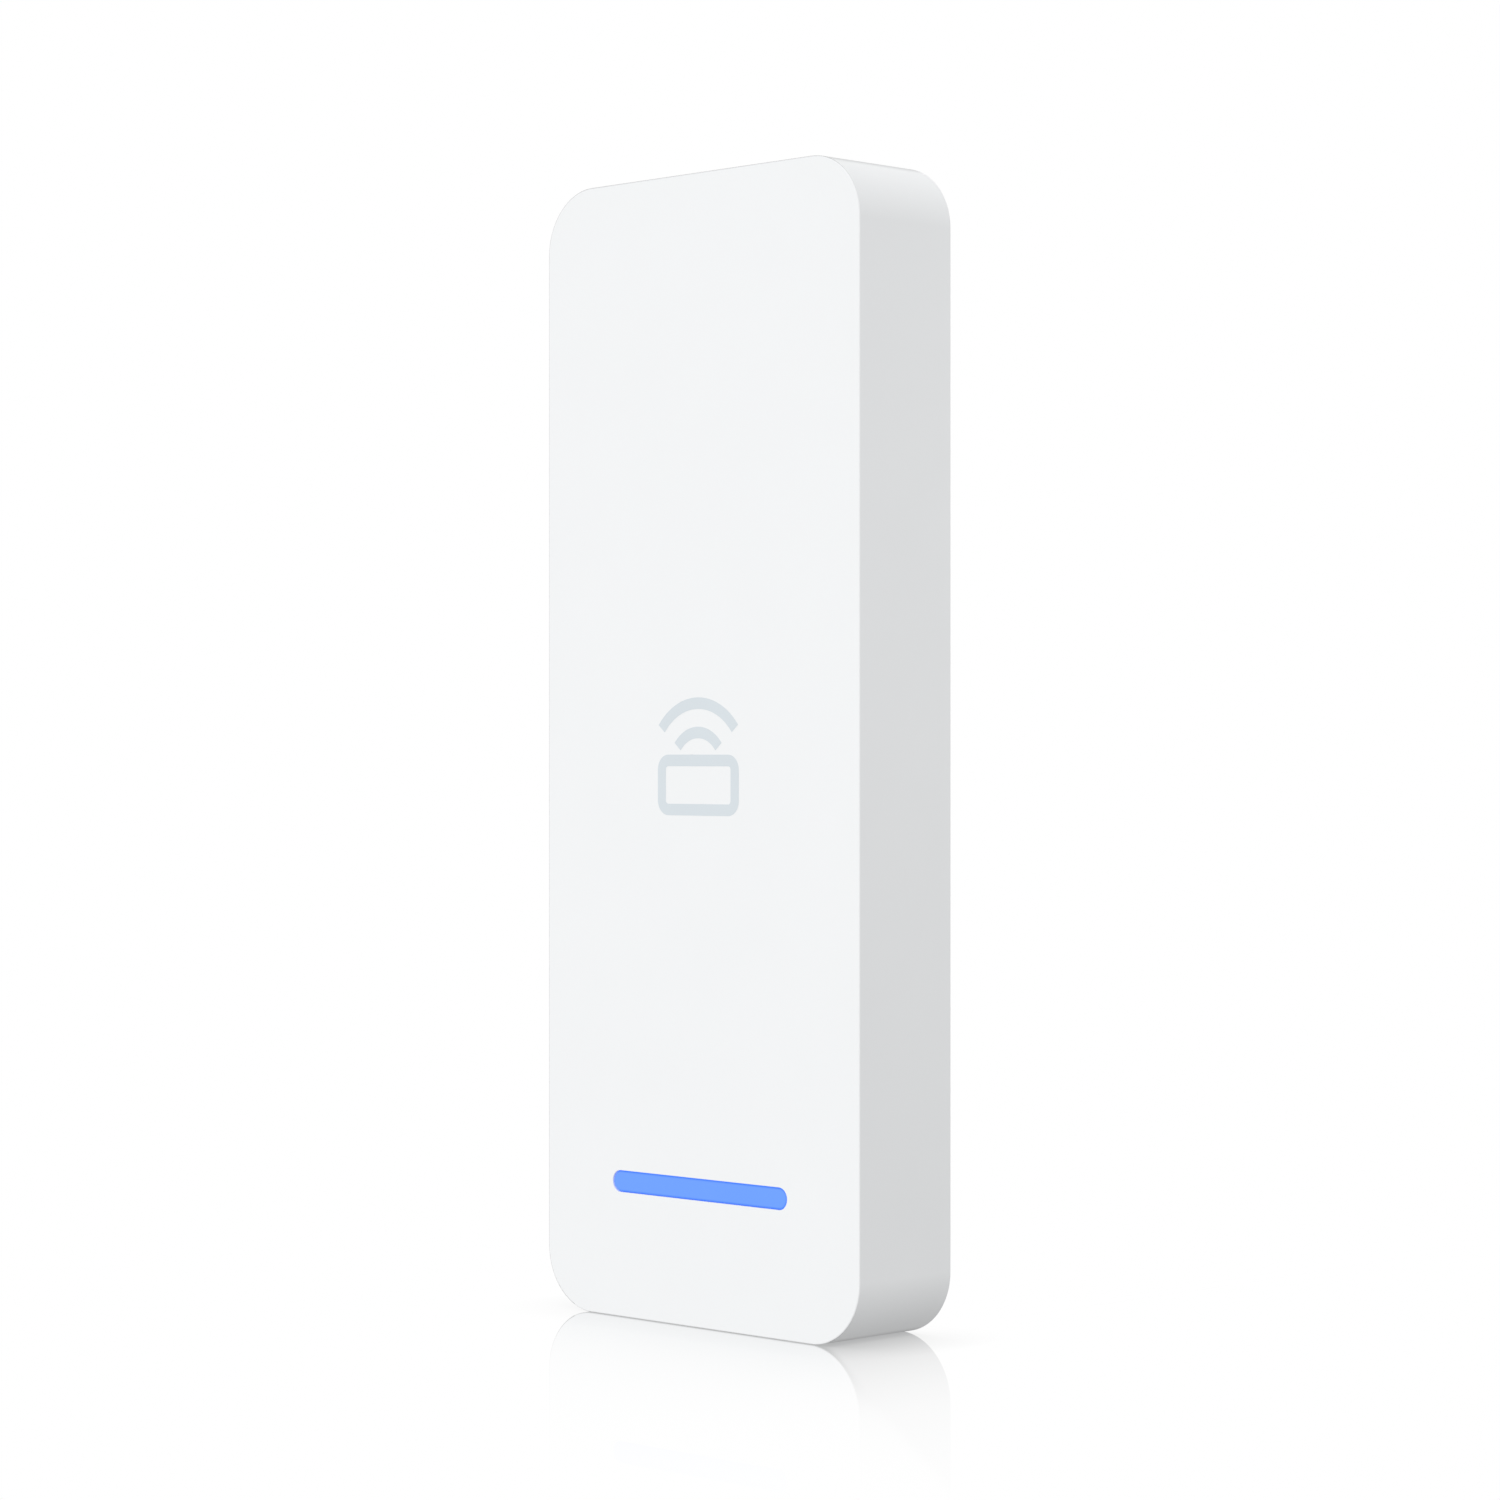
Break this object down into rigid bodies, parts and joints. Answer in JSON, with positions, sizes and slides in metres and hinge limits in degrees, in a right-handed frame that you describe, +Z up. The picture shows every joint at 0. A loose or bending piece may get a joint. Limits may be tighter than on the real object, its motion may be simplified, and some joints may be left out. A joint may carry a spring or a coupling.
{
  "type": "rfid card reader",
  "caption": "Slim upright card reader for a door frame: flat white cover with a lit bar, hung on a steel wall plate and locked by one screw from below.",
  "frame": {"origin": "centre of the reader's outline, on the rear face of its wall plate", "axes": "+Z up along the reader's height, +Y into the wall, the front faces -Y, +X to the right seen from the front"},
  "size_m": [0.048, 0.0145, 0.125],
  "materials": {
    "steel_sheet": "brushed stainless sheet",
    "cover_white": "fine satin moulded white",
    "lens_blue": "translucent, lit blue",
    "clear_acrylic": "clear polished",
    "reflector_white": "glossy white",
    "led_phosphor": "satin",
    "board_green": "solder mask over glass cloth",
    "copper_track": "copper under lacquer",
    "ferrite": "dull",
    "gold_plate": "gold flash",
    "shield_tin": "tin plate",
    "ceramic": "fired ceramic",
    "chip_black": "moulded epoxy",
    "thermal_silicone": "soft, tacky",
    "aluminium_plate": "rolled",
    "transformer_black": "moulded",
    "choke_grey": "pressed iron powder",
    "capacitor_can": "drawn can",
    "jack_plastic": "moulded",
    "jack_steel": "nickel plate",
    "rubber_black": "dull",
    "switch_plastic": "moulded",
    "button_grey": "satin",
    "plunger_white": "natural nylon",
    "spring_steel": "drawn wire",
    "membrane_white": "felted",
    "label_white": "polyester film",
    "rear_grey": "fine spark texture",
    "screw_steel": "zinc plate",
    "lock_steel": "stainless"
  },
  "bodies": {
    "wall_plate": {"wall_plate": "steel_sheet"},
    "reader": {"front_cover": "cover_white", "light_bar": "lens_blue", "light_guide": "clear_acrylic", "light_reflector": "reflector_white", "status_leds": "led_phosphor", "antenna_board": "board_green", "main_board": "board_green", "antenna_coil": "copper_track", "ferrite_sheet": "ferrite", "antenna_pins": "gold_plate", "jack_contacts": "gold_plate", "radio_module": "shield_tin", "reader_shield": "shield_tin", "radio_antenna": "ceramic", "reader_chip": "chip_black", "processor": "chip_black", "memory_chips": "chip_black", "rectifiers": "chip_black", "thermal_pad": "thermal_silicone", "heat_spreader": "aluminium_plate", "network_transformer": "transformer_black", "beeper": "transformer_black", "power_inductor": "choke_grey", "power_capacitors": "capacitor_can", "jack_housing": "jack_plastic", "jack_shield": "jack_steel", "jack_seal": "rubber_black", "tamper_seal": "rubber_black", "cover_gasket": "rubber_black", "reset_switch": "switch_plastic", "tamper_switch": "switch_plastic", "tamper_spring": "spring_steel", "vent_membrane": "membrane_white", "rating_label": "label_white", "rear_cover": "rear_grey", "case_screws": "screw_steel", "board_screws": "screw_steel"},
    "lock_screw": {"lock_screw": "lock_steel"},
    "lock_washer": {"lock_washer": "lock_steel"},
    "reset_button": {"reset_button": "button_grey"},
    "tamper_plunger": {"tamper_plunger": "plunger_white"}
  },
  "joints": [
    {"name": "reader_swing", "type": "hinge", "parent": "wall_plate", "child": "reader", "pos_m": [0, 0, 0.0625], "axis": [-1, 0, 0], "range_deg": [0, 10]},
    {"name": "lock_screw_advance", "type": "slide", "parent": "wall_plate", "child": "lock_washer", "axis": [0, 0, -1], "range_m": [0, 0.002]},
    {"name": "lock_screw_turn", "type": "hinge", "parent": "lock_washer", "child": "lock_screw", "pos_m": [0, -0.0065, -0.0603], "axis": [0, 0, -1], "range_deg": [0, 1440]},
    {"name": "reset_press", "type": "slide", "parent": "reader", "child": "reset_button", "axis": [0, -1, 0], "range_m": [0, 0.0003], "stiffness_N_per_m": 800},
    {"name": "tamper_travel", "type": "slide", "parent": "reader", "child": "tamper_plunger", "axis": [0, 1, 0], "range_m": [0, 0.0008]}
  ],
  "couplings": [
    {"joint": "lock_screw_turn", "follows": "lock_screw_advance", "rad_per_m": 12566},
    {"joint": "tamper_travel", "follows": "reader_swing", "m_per_rad": 0.00458}
  ]
}
